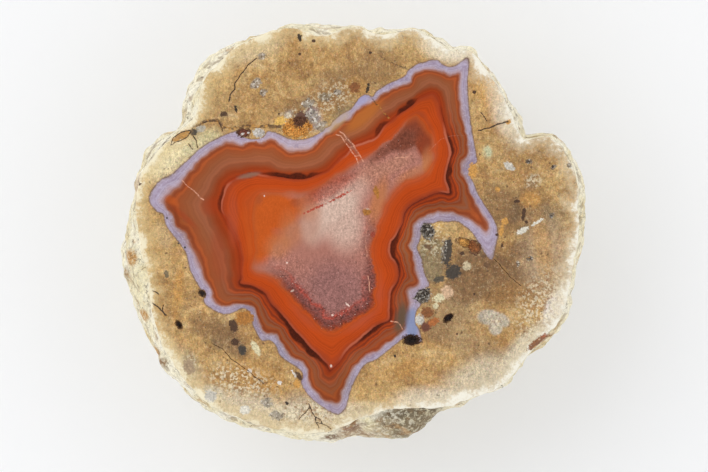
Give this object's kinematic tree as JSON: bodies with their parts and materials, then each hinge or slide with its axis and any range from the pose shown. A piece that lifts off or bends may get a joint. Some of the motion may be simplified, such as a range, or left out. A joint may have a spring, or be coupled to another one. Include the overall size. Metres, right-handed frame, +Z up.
{
  "type": "cut and polished agate nodule half",
  "caption": "Half of a round stone nodule, cut and polished flat to show a star of banded orange agate in tan rock, resting on a small flat spot.",
  "frame": {"origin": "middle of the small flat spot on the underside, on the surface that the stone rests on", "axes": "+Z up, square to the polished face; +X along the stone's longest width, to the right as the polished face is looked at; +Y away from the viewer"},
  "size_m": [0.0697, 0.0635, 0.034],
  "materials": {
    "stone": "satin"
  },
  "bodies": {
    "root": {"agate_nodule": "stone"}
  },
  "joints": []
}
